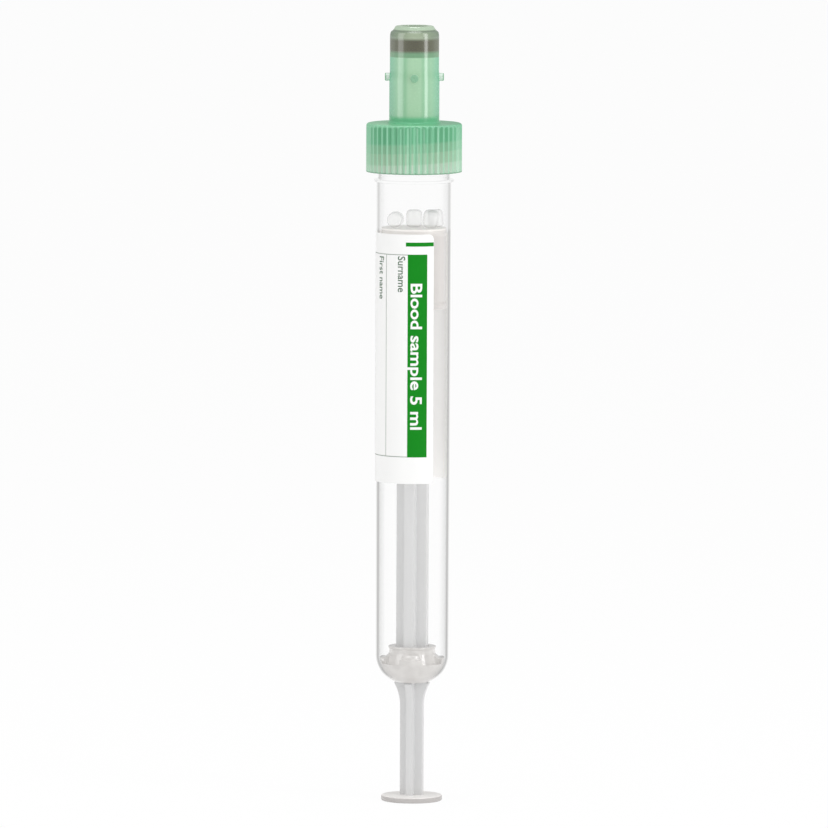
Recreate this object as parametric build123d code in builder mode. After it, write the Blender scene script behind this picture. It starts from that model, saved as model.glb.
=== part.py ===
"""Blood collection tube of the syringe kind, standing upright on its thumb disc.

A clear tube with a rounded, open base holds a piston on a plunger rod. A ribbed screw cap closes
the neck, and the nozzle on the cap is sealed by a rubber membrane that a needle can pierce.

Every piece is drawn in place about the tube's axis: +Z runs towards the nozzle, Z = 0 is the
tube's base, and -Y is the front, where the label's stripe is. The pieces are lifted on to the
floor as they are written out, so that Z = 0 is the foot of the thumb disc. Millimetres throughout.
"""

import os
from math import cos, radians, sin

from build123d import *

# ---- Driving dimensions ----

# Tube
bore_radius = 5.3
tube_wall = 0.7
neck_wall = 0.55
tube_length = 90.0  # base to the rim of the neck
neck_height = 8.42  # foot of the lip to the rim
lip_radius = 6.5
lip_thickness = 0.4
base_round = 4.75  # wall into the base's flat middle

# Collar round the rod and the webs inside the base
rod_hole_radius = 2.72
collar_wall = 1.02
collar_top = 6.2
collar_bead = 0.14  # snap bead round the collar's top
collar_bead_height = 0.45
collar_foot = 0.55
web_height = 4.4
web_count = 4
web_arc = 44.0  # degrees that each web fills
web_turn = -3.0  # first web, seen from the front
pocket_wall = 0.6  # base under the pockets
pocket_inset = 0.12  # step between the pockets and the bore or the collar's foot

# Screw thread between neck and cap
pitch = 2.0
thread_depth = 0.45
thread_root_width = 1.0
thread_crest_width = 0.5
thread_clearance = 0.15  # crest to the opposite root
thread_bite = 0.1  # how far a thread's root is sunk into its wall
thread_drop = 6.2  # start of the neck's thread below the rim
neck_thread_turns = 1.65
cap_thread_turns = 1.3

# Screw cap
cap_gap = 0.05  # neck rim to the underside of the cap
cap_plate = 1.0
cap_height = 7.9
skirt_wall = 1.28
cap_top_bevel = 0.45
groove_count = 45
groove_width = 0.72
groove_depth = 0.3
plug_gap = 0.06  # plug to the tube's bore
plug_wall = 0.8
plug_depth = 2.3
plug_bevel = 0.25
skirt_lead = 0.35  # bevel inside the skirt's lower edge

# Nozzle on top of the cap
nozzle_radius = 3.95  # above the lock pins
nozzle_step = 0.1  # it is this much thicker below them
nozzle_taper = 0.6  # and slims down over this height, beside them
nozzle_length = 15.68
nozzle_bore_radius = 3.0
nozzle_foot_bevel = 0.3
tip_shoulder_height = 0.55  # slope from the nozzle's wall to the tip's rim
tip_rim_radius = 3.45
tip_rim_height = 0.7
tip_top_radius = 2.9
tip_hole_radius = 2.2
tip_plate = 1.88
ledge_radius = 2.55
ledge_height = 0.7
lock_pin_radius = 0.65
lock_pin_shelf = 0.2  # pins to the nozzle's step
lock_pin_length = 0.82
lock_pin_bite = 0.3  # pins are sunk this far into the nozzle's wall
lock_pin_level = 7.42  # above the cap's top face
lock_pin_count = 4

# Rubber membrane in the nozzle's tip
membrane_radius = 3.2
membrane_height = 2.3
membrane_gap = 0.04
membrane_boss_gap = 0.05  # boss to the tip's hole
membrane_boss_height = 1.5
membrane_dimple_radius = 1.5
membrane_dimple_depth = 0.6

# Piston
piston_drop = 15.85  # neck rim to the piston's top, with the plunger pushed in
piston_length = 13.1
piston_gap = 0.05  # sealing lips to the bore
piston_waist = 0.22  # the body is this much narrower than the lips
piston_wall = 0.95
piston_roof = 1.5
piston_bevel = 0.55  # inside the lower edge, clears the collar's foot
piston_travel_gap = 0.08
lip_band = 0.9
lip_bevel = 0.22
hub_wall = 1.0
hub_length = 4.0
throat_length = 1.2
socket_gap = 0.04

# Plunger rod
rod_reach = 2.5  # axis to rib tip inside the tube
rod_rib_thickness = 1.66
handle_reach = 1.86
handle_rib_thickness = 1.12
stop_reach = 2.88
stop_gap = 0.06  # stop shoulders to the edge of the rod's hole
stop_height = 3.7  # length over which the ribs widen to the stop
rod_turn = -14.5  # degrees that the ribs are turned about the axis
rod_rib_count = 4
rod_end_gap = 0.3  # rod ribs to the piston's hub
notch_width = 1.1
notch_reach = 1.1  # what the break-off notch leaves
head_radius = 1.5
head_height = 1.4
head_bevel = 0.5
head_neck_radius = 1.0
thumb_radius = 4.94
thumb_thickness = 0.9
handle_length = 19.0  # tube's base to the underside of the thumb disc
thumb_bevel = 0.25

# Label
label_thickness = 0.12
label_gap = 0.02
label_drop = 16.56  # neck rim to the label's upper edge
label_height = 40.35
label_start = 24.5  # free edge behind the right side, degrees about the axis
label_sweep = 277.5
label_corner = 0.9

# Beads with the anticoagulant, loose on the piston
bead_radius = 1.25
bead_length = 2.8
bead_gap = 0.05  # between the beads and the piston
bead_places = (  # right of and behind the axis as shares of the bore's radius, lean and its way in degrees
    (-0.57, 0.04, 90.0, 80.0),
    (0.01, 0.25, 0.0, 0.0),
    (0.52, -0.25, 14.0, 300.0),
    (0.665, 0.27, 5.0, 180.0),
)

# ---- Worked-out sizes ----

lip_level = tube_length - neck_height
thread_start = tube_length - thread_drop
tube_radius = bore_radius + tube_wall
neck_radius = bore_radius + neck_wall
collar_radius = rod_hole_radius + collar_wall
cap_bore_radius = neck_radius + thread_depth + thread_clearance
skirt_radius = cap_bore_radius + skirt_wall
ceiling = tube_length + cap_gap
cap_top = ceiling + cap_plate
cap_bottom = cap_top - cap_height
plug_radius = bore_radius - plug_gap
nozzle_top = cap_top + nozzle_length
tip_rim_foot = nozzle_top - tip_rim_height
seat_top = nozzle_top - tip_plate
seat_radius = membrane_radius + membrane_gap
membrane_top = seat_top - membrane_gap
membrane_bottom = membrane_top - membrane_height
ledge_top = membrane_bottom - membrane_gap
nozzle_cylinder = cap_top + lock_pin_level + lock_pin_radius + lock_pin_shelf
piston_top = tube_length - piston_drop
piston_level = piston_top - piston_length
piston_radius = bore_radius - piston_gap
piston_body_radius = piston_radius - piston_waist
piston_inner_radius = piston_body_radius - piston_wall
hub_bottom = piston_top - piston_roof - hub_length
socket_radius = head_radius + socket_gap
throat_radius = head_neck_radius + socket_gap
head_bottom = hub_bottom + throat_length + socket_gap
rod_end = hub_bottom - rod_end_gap
draw_length = piston_level - web_height - piston_travel_gap
base_flat_end = tube_radius - base_round
handle_foot = thumb_thickness / 2 - handle_length
label_top = tube_length - label_drop
label_bottom = label_top - label_height


def base_height(radius, inwards=0.0):
    """Height of the rounded base at that distance from the axis, or of a curve inside it."""
    return base_round - ((base_round - inwards) ** 2 - (radius - base_flat_end) ** 2) ** 0.5


rod_stop = base_height(rod_hole_radius) - stop_gap


def side_plane(angle=0.0):
    """Half plane through the axis: its X runs outwards at that angle, its Y up the axis."""
    outwards = (cos(radians(angle)), sin(radians(angle)), 0)
    return Plane(origin=(0, 0, 0), x_dir=outwards, z_dir=(outwards[1], -outwards[0], 0))


def bead_plane(right, behind, lean, turn):
    """Plane across the middle of a bead that rests on the piston, leaning towards that turn."""
    along, across = cos(radians(lean)), sin(radians(lean))
    rest_height = along * bead_length / 2 + across * bead_radius
    centre = (right * bore_radius, behind * bore_radius, piston_top + bead_gap + rest_height)
    axis = (across * cos(radians(turn)), across * sin(radians(turn)), along)
    return Plane(origin=centre, z_dir=axis)


def thread_plane(path):
    """Plane across the start of a thread, with its X pointing outwards."""
    return Plane(origin=path @ 0, x_dir=(1, 0, 0), z_dir=path % 0)


# ---- Tube: one moulding with the lip, the neck's thread, the collar and its webs ----

with BuildPart() as tube:
    with BuildSketch(side_plane()):
        with BuildLine():
            Polyline(
                (0, 0),
                (tube_radius, 0),
                (tube_radius, lip_level),
                (lip_radius, lip_level),
                (lip_radius, lip_level + lip_thickness),
                (neck_radius, lip_level + lip_thickness),
                (neck_radius, tube_length),
                (0, tube_length),
                close=True,
            )
        make_face()
    revolve(axis=Axis.Z)
    fillet(edges().group_by(Axis.Z)[0], base_round)
    # The bore stops at the top of the webs.
    with BuildSketch(Plane.XY.offset(web_height)):
        Circle(bore_radius)
    extrude(amount=tube_length - web_height, mode=Mode.SUBTRACT)
    # Collar round the rod, with a snap bead at its top and a sloped foot.
    with BuildSketch(side_plane()):
        with BuildLine():
            Polyline(
                (0, web_height - pocket_wall),
                (collar_radius + collar_foot, web_height - pocket_wall),
                (collar_radius + collar_foot, web_height),
                (collar_radius, web_height + collar_foot),
                (collar_radius, collar_top - collar_bead_height),
                (collar_radius + collar_bead, collar_top - collar_bead_height + collar_bead),
                (collar_radius + collar_bead, collar_top),
                (0, collar_top),
                close=True,
            )
        make_face()
    revolve(axis=Axis.Z)
    # Pockets between the webs, with a floor that follows the rounded base.
    pocket_in = collar_radius + collar_foot + pocket_inset
    pocket_out = bore_radius - pocket_inset
    for place in range(web_count):
        after_web = web_turn - 90 + web_arc / 2 + place * 360 / web_count
        with BuildSketch(side_plane(after_web)):
            Polygon(
                (pocket_in, base_height(pocket_in, pocket_wall)),
                (pocket_out, base_height(pocket_out, pocket_wall)),
                (pocket_out, web_height + pocket_wall),
                (pocket_in, web_height + pocket_wall),
                align=None,
            )
        revolve(axis=Axis.Z, revolution_arc=360 / web_count - web_arc, mode=Mode.SUBTRACT)
    with BuildSketch(Plane.XY):
        Circle(rod_hole_radius)
    extrude(amount=collar_top, mode=Mode.SUBTRACT)
    neck_helix = Helix(
        pitch=pitch,
        height=pitch * neck_thread_turns,
        radius=neck_radius,
        center=(0, 0, thread_start),
        mode=Mode.PRIVATE,
    )
    with BuildSketch(thread_plane(neck_helix)):
        Polygon(
            (-thread_bite, -thread_root_width / 2),
            (0, -thread_root_width / 2),
            (thread_depth, -thread_crest_width / 2),
            (thread_depth, thread_crest_width / 2),
            (0, thread_root_width / 2),
            (-thread_bite, thread_root_width / 2),
            align=None,
        )
    sweep(path=neck_helix, is_frenet=True)
tube.part.label = "tube"

# ---- Screw cap: one moulding with the ribbed skirt, the sealing plug and the nozzle ----

with BuildPart() as screw_cap:
    with BuildSketch(side_plane()):
        with BuildLine():
            Polyline(
                (0, cap_bottom),
                (skirt_radius, cap_bottom),
                (skirt_radius, cap_top),
                (nozzle_radius + nozzle_step, cap_top),
                (nozzle_radius + nozzle_step, nozzle_cylinder - nozzle_taper),
                (nozzle_radius, nozzle_cylinder),
                (nozzle_radius, tip_rim_foot - tip_shoulder_height),
                (tip_rim_radius, tip_rim_foot),
                (tip_top_radius, nozzle_top),
                (0, nozzle_top),
                close=True,
            )
        make_face()
    revolve(axis=Axis.Z)
    rims = edges().filter_by(GeomType.CIRCLE).group_by(Axis.Z)
    chamfer(rims[1].sort_by(SortBy.RADIUS)[-1], cap_top_bevel)
    chamfer(rims[1].sort_by(SortBy.RADIUS)[0], nozzle_foot_bevel)
    # Finger grip: grooves that leave ribs standing between them.
    with BuildSketch(Plane.XY.offset(cap_bottom)):
        with PolarLocations(skirt_radius, groove_count):
            Polygon(
                (-groove_depth, 0),
                (0, -groove_width / 2),
                (groove_depth, -groove_width),
                (groove_depth, groove_width),
                (0, groove_width / 2),
                align=None,
            )
    extrude(amount=cap_height, mode=Mode.SUBTRACT)
    # Room for the neck, round the plug that seals the bore.
    with BuildSketch(side_plane()):
        with BuildLine():
            Polyline(
                (0, cap_bottom),
                (cap_bore_radius + skirt_lead, cap_bottom),
                (cap_bore_radius, cap_bottom + skirt_lead),
                (cap_bore_radius, ceiling),
                (plug_radius, ceiling),
                (plug_radius, ceiling - plug_depth + plug_bevel),
                (plug_radius - plug_bevel, ceiling - plug_depth),
                (plug_radius - plug_wall, ceiling - plug_depth),
                (plug_radius - plug_wall, ceiling),
                (nozzle_bore_radius, ceiling),
                (nozzle_bore_radius, ledge_top - ledge_height),
                (ledge_radius, ledge_top - ledge_height),
                (ledge_radius, ledge_top),
                (seat_radius, ledge_top),
                (seat_radius, seat_top),
                (tip_hole_radius, seat_top),
                (tip_hole_radius, nozzle_top),
                (0, nozzle_top),
                close=True,
            )
        make_face()
    revolve(axis=Axis.Z, mode=Mode.SUBTRACT)
    # Four pins on the nozzle lock the needle on.
    for place in range(lock_pin_count):
        turn = radians(place * 360 / lock_pin_count)
        pin_axis = (cos(turn), sin(turn), 0)
        outwards = Plane(origin=(0, 0, cap_top + lock_pin_level), x_dir=(0, 0, 1), z_dir=pin_axis)
        with BuildSketch(outwards.offset(nozzle_radius - lock_pin_bite)):
            Circle(lock_pin_radius)
        extrude(amount=lock_pin_bite + lock_pin_length)
    # Thread inside the skirt, half a pitch away from the neck's.
    cap_helix = Helix(
        pitch=pitch,
        height=pitch * cap_thread_turns,
        radius=cap_bore_radius,
        center=(0, 0, thread_start + pitch / 2),
        mode=Mode.PRIVATE,
    )
    with BuildSketch(thread_plane(cap_helix)):
        Polygon(
            (thread_bite, -thread_root_width / 2),
            (thread_bite, thread_root_width / 2),
            (0, thread_root_width / 2),
            (-thread_depth, thread_crest_width / 2),
            (-thread_depth, -thread_crest_width / 2),
            (0, -thread_root_width / 2),
            align=None,
        )
    sweep(path=cap_helix, is_frenet=True)
screw_cap.part.label = "screw_cap"

# ---- Membrane: a rubber disc with a boss that fills the tip's hole ----

with BuildPart() as membrane:
    with BuildSketch(Plane.XY.offset(membrane_bottom)):
        Circle(membrane_radius)
    extrude(amount=membrane_height)
    with BuildSketch(Plane.XY.offset(membrane_top)):
        Circle(tip_hole_radius - membrane_boss_gap)
    extrude(amount=membrane_boss_height)
    with BuildSketch(Plane.XY.offset(membrane_bottom)):
        Circle(membrane_dimple_radius)
    extrude(amount=membrane_dimple_depth, mode=Mode.SUBTRACT)
membrane.part.label = "membrane"

# ---- Piston: a hollow cup with a sealing lip at each end and a hub that grips the rod ----

with BuildPart() as piston:
    with BuildSketch(side_plane()):
        with BuildLine():
            Polyline(
                (0, piston_top),
                (piston_radius - lip_bevel, piston_top),
                (piston_radius, piston_top - lip_bevel),
                (piston_radius, piston_top - lip_band),
                (piston_body_radius, piston_top - lip_band - piston_waist),
                (piston_body_radius, piston_level + lip_band + piston_waist),
                (piston_radius, piston_level + lip_band),
                (piston_radius, piston_level + lip_bevel),
                (piston_radius - lip_bevel, piston_level),
                (piston_inner_radius + piston_bevel, piston_level),
                (piston_inner_radius, piston_level + piston_bevel),
                (piston_inner_radius, piston_top - piston_roof),
                (socket_radius + hub_wall, piston_top - piston_roof),
                (socket_radius + hub_wall, hub_bottom),
                (throat_radius, hub_bottom),
                (throat_radius, hub_bottom + throat_length),
                (socket_radius, hub_bottom + throat_length),
                (socket_radius, head_bottom + head_height + socket_gap),
                (0, head_bottom + head_height + socket_gap),
                close=True,
            )
        make_face()
    revolve(axis=Axis.Z)
piston.part.label = "piston"

# ---- Plunger rod: one moulding, from the thumb disc to the head that snaps into the piston ----

with BuildPart() as plunger_rod:
    with BuildSketch(Plane.XY.offset(-handle_length)):
        Circle(thumb_radius)
    extrude(amount=thumb_thickness)
    chamfer(edges().filter_by(GeomType.CIRCLE), thumb_bevel)
    # Crossed ribs, narrow under the tube and wide inside it.
    for place in range(rod_rib_count // 2):
        turn = rod_turn + place * 360 / rod_rib_count
        with BuildSketch(Plane.XY.offset(handle_foot)):
            Rectangle(2 * handle_reach, handle_rib_thickness, rotation=turn)
        extrude(amount=rod_stop - handle_foot)
        with BuildSketch(Plane.XY.offset(rod_stop)):
            Rectangle(2 * rod_reach, rod_rib_thickness, rotation=turn)
        extrude(amount=rod_end - rod_stop)
    for place in range(rod_rib_count):
        # The ribs widen in a hollow curve to the stop that meets the tube's base.
        with BuildSketch(side_plane(rod_turn + place * 360 / rod_rib_count)):
            with BuildLine():
                run = Line((handle_reach / 2, rod_stop - stop_height), (handle_reach, rod_stop - stop_height))
                curve = TangentArc(run @ 1, (stop_reach, rod_stop), tangent=(0, 1))
                Polyline(curve @ 1, (handle_reach / 2, rod_stop), run @ 0)
            make_face()
        extrude(amount=handle_rib_thickness / 2, both=True)
        # Break-off notch: it reaches the tube's base once the plunger is fully drawn.
        with BuildSketch(side_plane(rod_turn + place * 360 / rod_rib_count)):
            Polygon(
                (notch_reach, draw_length),
                (2 * rod_reach, draw_length - notch_width),
                (2 * rod_reach, draw_length + notch_width),
                align=None,
            )
        extrude(amount=rod_rib_thickness, both=True, mode=Mode.SUBTRACT)
    # Neck and head in the piston's hub.
    with BuildSketch(Plane.XY.offset(rod_end)):
        Circle(head_neck_radius)
    extrude(amount=head_bottom - rod_end)
    with BuildSketch(Plane.XY.offset(head_bottom)):
        Circle(head_radius)
    extrude(amount=head_height)
    chamfer(edges().group_by(Axis.Z)[-1], head_bevel)
plunger_rod.part.label = "plunger_rod"

# ---- Label: a self-adhesive sheet round most of the tube ----

with BuildPart() as label:
    with BuildSketch(Plane.XY.offset(label_bottom)):
        with BuildLine():
            inside = CenterArc((0, 0), tube_radius + label_gap, label_start, label_sweep)
            outside = CenterArc((0, 0), inside.radius + label_thickness, label_start, label_sweep)
            Line(inside @ 0, outside @ 0)
            Line(inside @ 1, outside @ 1)
        make_face()
    extrude(amount=label_height)
    corners = edges().filter_by(lambda edge: edge.length < 2 * label_thickness)
    fillet(corners, label_corner)
label.part.label = "label"

# ---- Beads: short pellets, one beside the other on the piston ----

with BuildPart() as beads:
    for place in bead_places:
        with BuildSketch(bead_plane(*place)):
            Circle(bead_radius)
        extrude(amount=bead_length / 2, both=True)
beads.part.label = "beads"

# ---- Set everything on the floor ----

standing = Location((0, 0, handle_length))
os.makedirs("parts", exist_ok=True)
export_step(tube.part.moved(standing), "parts/tube.step")
export_step(screw_cap.part.moved(standing), "parts/screw_cap.step")
export_step(membrane.part.moved(standing), "parts/membrane.step")
export_step(piston.part.moved(standing), "parts/piston.step")
export_step(plunger_rod.part.moved(standing), "parts/plunger_rod.step")
export_step(label.part.moved(standing), "parts/label.step")
export_step(beads.part.moved(standing), "parts/beads.step")
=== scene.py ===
from math import cos, pi, radians, sin, tan

import bmesh
import bpy
import numpy as np
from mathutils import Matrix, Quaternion, Vector


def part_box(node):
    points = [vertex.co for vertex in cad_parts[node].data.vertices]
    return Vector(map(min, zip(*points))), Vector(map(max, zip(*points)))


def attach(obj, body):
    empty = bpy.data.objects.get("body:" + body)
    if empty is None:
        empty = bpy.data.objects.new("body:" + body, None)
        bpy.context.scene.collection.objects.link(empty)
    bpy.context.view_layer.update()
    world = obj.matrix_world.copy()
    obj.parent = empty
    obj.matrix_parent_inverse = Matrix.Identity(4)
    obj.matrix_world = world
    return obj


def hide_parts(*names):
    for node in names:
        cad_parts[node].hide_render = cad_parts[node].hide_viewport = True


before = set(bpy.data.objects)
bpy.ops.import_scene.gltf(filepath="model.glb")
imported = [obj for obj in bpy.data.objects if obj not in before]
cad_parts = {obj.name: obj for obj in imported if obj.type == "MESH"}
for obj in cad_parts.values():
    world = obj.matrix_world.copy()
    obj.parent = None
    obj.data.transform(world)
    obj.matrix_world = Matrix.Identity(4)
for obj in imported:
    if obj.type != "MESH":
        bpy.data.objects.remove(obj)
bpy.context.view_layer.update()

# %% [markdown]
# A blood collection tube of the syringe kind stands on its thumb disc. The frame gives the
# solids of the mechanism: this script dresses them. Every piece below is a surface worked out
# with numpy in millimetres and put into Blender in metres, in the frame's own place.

MM = 0.001

# %% [markdown]
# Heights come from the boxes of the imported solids. The neck's rim is the top of the tube, and
# the tube is 90 mm long, so its base lies 90 mm lower, a rod's handle over the floor.

# %% Levels
TUBE_LENGTH, LIP_TO_RIM, NOZZLE_HEIGHT, RUBBER_HEIGHT = 90.0, 8.42, 15.68, 2.3


def level(node, end):
    """Lowest (end 0) or highest (end 1) level of a solid, in millimetres."""
    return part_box(node)[end].z / MM


RIM = level("tube", 1)
BASE = RIM - TUBE_LENGTH
LIP = RIM - LIP_TO_RIM
CAP_FOOT = level("screw_cap", 0)
NOZZLE_TOP = level("screw_cap", 1)
CAP_FACE = NOZZLE_TOP - NOZZLE_HEIGHT
RUBBER_LOW = level("membrane", 0)
RUBBER_HIGH = RUBBER_LOW + RUBBER_HEIGHT
PISTON_FOOT, PISTON_TOP = level("piston", 0), level("piston", 1)
LABEL_FOOT, LABEL_TOP = level("label", 0), level("label", 1)
ROD_TOP = level("plunger_rod", 1)
print("rim", RIM, "base", BASE, "cap", CAP_FOOT, CAP_FACE, NOZZLE_TOP)
print("piston", PISTON_FOOT, PISTON_TOP, "label", LABEL_FOOT, LABEL_TOP)

# %% [markdown]
# A mould leaves small radii on every edge, and those radii are what catches the light. A
# profile is therefore written as plain corners and softened here, with one more point just
# outside each radius, which keeps the flats between the radii flat in the shading.

# %% Softened profiles
def soften(corners, reach, steps=6, closed=True):
    """Round off corners C: (1-s)^2 A + 2s(1-s) C + s^2 B, with A and B `reach` away from C."""
    c = np.asarray(corners, float)
    reach = np.broadcast_to(np.asarray(reach, float), len(c)).copy()
    if not closed:
        reach[[0, -1]] = 0
    before, after = np.roll(c, 1, axis=0) - c, np.roll(c, -1, axis=0) - c
    long_before = np.linalg.norm(before, axis=1)[:, None]
    long_after = np.linalg.norm(after, axis=1)[:, None]
    cut = np.minimum(reach[:, None], 0.42 * np.minimum(long_before, long_after))
    a, b = c + before / long_before * cut, c + after / long_after * cut
    s = np.linspace(0, 1, steps)[None, :, None]
    arc = (1 - s) ** 2 * a[:, None] + 2 * s * (1 - s) * c[:, None] + s**2 * b[:, None]
    hold_a, hold_b = a + (a - c) * 0.15, b + (b - c) * 0.15
    return np.concatenate([hold_a[:, None], arc, hold_b[:, None]], axis=1).reshape(-1, 2)


def smooth_step(x, low, high):
    """Smooth step from 0 at low to 1 at high: 3t^2 - 2t^3."""
    t = np.clip((np.asarray(x, float) - low) / (high - low), 0, 1)
    return t * t * (3 - 2 * t)


# %% From a grid of points to a piece
def skin(name, grid, wrap_rows=False, sharp=35):
    """Quads between neighbours of a grid of points: rows along a profile, columns round it."""
    rows, columns = grid.shape[:2]
    number = np.arange(rows * columns).reshape(rows, columns)
    if wrap_rows:
        number = np.vstack([number, number[:1]])
    number = np.hstack([number, number[:, :1]])
    corners = number[:-1, :-1], number[:-1, 1:], number[1:, 1:], number[1:, :-1]
    quads = np.stack(corners, axis=-1).reshape(-1, 4)
    mesh = bpy.data.meshes.new(name)
    mesh.from_pydata((grid.reshape(-1, 3) * MM).tolist(), [], quads.tolist())
    return finished(name, mesh, sharp)


def finished(name, mesh, sharp=35):
    """Welds seams and poles, turns all faces outwards and shades the piece smoothly."""
    work = bmesh.new()
    work.from_mesh(mesh)
    bmesh.ops.remove_doubles(work, verts=work.verts, dist=1e-6)
    bmesh.ops.dissolve_degenerate(work, edges=work.edges, dist=1e-7)
    bmesh.ops.recalc_face_normals(work, faces=work.faces)
    work.to_mesh(mesh)
    work.free()
    mesh.shade_smooth()
    mesh.set_sharp_from_angle(angle=radians(sharp))
    piece = bpy.data.objects.new(name, mesh)
    bpy.context.scene.collection.objects.link(piece)
    return piece


def turned(profile, columns=160, radius_at=None):
    """Points of a surface of revolution: (r, z) at angle t lies at (r cos t, r sin t, z)."""
    turn = np.arange(columns) * 2 * pi / columns
    r = np.repeat(profile[:, :1], columns, axis=1)
    z = np.repeat(profile[:, 1:], columns, axis=1)
    if radius_at is not None:
        r, z = radius_at(r, z, turn[None, :])
    return np.stack([r * np.cos(turn), r * np.sin(turn), z], axis=-1)


def dress(piece, body, node, finish):
    """The piece rides on a body, stands for a solid and wears a finish."""
    piece.data.materials.append(finish)
    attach(piece, body)
    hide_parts(node)
    print(piece.name, len(piece.data.polygons), "faces on", body)
    return piece


# %% [markdown]
# All the plastics share one effect: the skin that a mould leaves. It is a fine grain, and long
# faint streaks where the melt flowed. It is a node group, so each plastic sets its own amounts.

# %% The mould's skin as a node group
FLOW_SCALE, GRAIN_SCALE, GRAIN_ROUGHENS = (420, 420, 60), 2600.0, 0.12


def socket(group, name, kind, way, value=None):
    """Adds a socket to a node group."""
    made = group.interface.new_socket(name=name, in_out=way, socket_type="NodeSocket" + kind)
    if value is not None:
        made.default_value = value


def mould_skin():
    """Grain and flow marks: outputs a tinted colour, a roughness and a height."""
    group = bpy.data.node_groups.new("mould skin", "ShaderNodeTree")
    socket(group, "Colour", "Color", "INPUT", (1, 1, 1, 1))
    socket(group, "Streaks", "Float", "INPUT", 0.06)
    socket(group, "Roughness", "Float", "INPUT", 0.3)
    socket(group, "Colour", "Color", "OUTPUT")
    socket(group, "Roughness", "Float", "OUTPUT")
    socket(group, "Height", "Float", "OUTPUT")
    n, link = group.nodes, group.links.new
    inputs, outputs = n.new("NodeGroupInput"), n.new("NodeGroupOutput")
    place, flow = n.new("ShaderNodeTexCoord"), n.new("ShaderNodeMapping")
    flow.inputs["Scale"].default_value = FLOW_SCALE
    link(place.outputs["Object"], flow.inputs["Vector"])
    streak, grain = n.new("ShaderNodeTexNoise"), n.new("ShaderNodeTexNoise")
    streak.inputs["Scale"].default_value = 1.0
    streak.inputs["Detail"].default_value = 3.0
    grain.inputs["Scale"].default_value = GRAIN_SCALE
    grain.inputs["Detail"].default_value = 2.0
    link(flow.outputs["Vector"], streak.inputs["Vector"])
    link(place.outputs["Object"], grain.inputs["Vector"])
    darker = n.new("ShaderNodeMath")
    darker.operation = "MULTIPLY"
    link(streak.outputs["Fac"], darker.inputs[0])
    link(inputs.outputs["Streaks"], darker.inputs[1])
    tint = n.new("ShaderNodeMix")
    tint.data_type, tint.blend_type = "RGBA", "MULTIPLY"
    tint.inputs["B"].default_value = (0.0, 0.0, 0.0, 1)
    link(darker.outputs[0], tint.inputs["Factor"])
    link(inputs.outputs["Colour"], tint.inputs["A"])
    rough = n.new("ShaderNodeMath")
    rough.operation = "MULTIPLY_ADD"
    rough.inputs[1].default_value = GRAIN_ROUGHENS
    link(grain.outputs["Fac"], rough.inputs[0])
    link(inputs.outputs["Roughness"], rough.inputs[2])
    link(tint.outputs["Result"], outputs.inputs["Colour"])
    link(rough.outputs[0], outputs.inputs["Roughness"])
    link(grain.outputs["Fac"], outputs.inputs["Height"])
    return group


MOULD_SKIN = mould_skin()
print("node group:", MOULD_SKIN.name)

# %% [markdown]
# A material is a small tree of nodes. They could be set by hand in Blender's editor. Helpers do
# it here: one adds a node, one links, one does sums, and two make masks with soft edges.

# %% Nodes, links, sums and masks
def srgb(red, green, blue):
    """A screen colour, 0 to 255 each, as the linear colour that Blender's nodes hold."""
    c = np.array([red, green, blue]) / 255
    linear = np.where(c <= 0.04045, c / 12.92, ((c + 0.055) / 1.055) ** 2.4)
    return (*linear.tolist(), 1.0)


def node(material, kind, **inputs):
    """A new node with some of its inputs set."""
    made = material.node_tree.nodes.new("ShaderNode" + kind)
    for name, value in inputs.items():
        made.inputs[name.replace("_", " ")].default_value = value
    return made


def wire(material, *pairs):
    """Links outputs to inputs."""
    for output, into in pairs:
        material.node_tree.links.new(output, into)


def number_node(material, operation, first, second=None, third=None):
    """A Math node, whose inputs are numbers or outputs of other nodes."""
    made = material.node_tree.nodes.new("ShaderNodeMath")
    made.operation = operation
    for place, value in enumerate((first, second, third)):
        if value is None:
            continue
        if isinstance(value, (int, float)):
            made.inputs[place].default_value = value
        else:
            wire(material, (value, made.inputs[place]))
    return made.outputs[0]


def step_node(material, value, low, high):
    """A mask that rises smoothly from 0 at low to 1 at high."""
    made = node(material, "MapRange")
    made.interpolation_type = "SMOOTHSTEP"
    made.inputs["From Min"].default_value = low
    made.inputs["From Max"].default_value = high
    wire(material, (value, made.inputs["Value"]))
    return made.outputs["Result"]


def ring_mask(material, z, low, high, soft=0.12):
    """1 between two levels, with soft edges."""
    up = step_node(material, z, low - soft, low + soft)
    down = step_node(material, z, high + soft, high - soft)
    return number_node(material, "MULTIPLY", up, down)


print("a middle grey on the screen is", round(srgb(128, 128, 128)[0], 3), "in linear light")

# %% [markdown]
# Two things set a tone on this tube: where on it a point lies, and how far its surface turns
# away from the eye. Nodes give both, so tones need no picture and move with their piece.

# %% Where a point lies and how it faces
def place_of(material):
    """The place on the object in metres: X, Y and Z as the outputs of a Separate XYZ node."""
    place, apart = node(material, "TexCoord"), node(material, "SeparateXYZ")
    wire(material, (place.outputs["Object"], apart.inputs["Vector"]))
    return apart.outputs


def height_of(material):
    """The height on the object in millimetres."""
    return number_node(material, "MULTIPLY", place_of(material)["Z"], 1 / MM)


def facing_of(material, blend=0.5):
    """Layer Weight's Facing: 0 where the surface is seen head on, near 1 where it turns away."""
    return node(material, "LayerWeight", Blend=blend).outputs["Facing"]


# %% How a plastic is put together
def shader_of(material):
    """The Principled BSDF that each material starts with."""
    return material.node_tree.nodes["Principled BSDF"]


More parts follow.
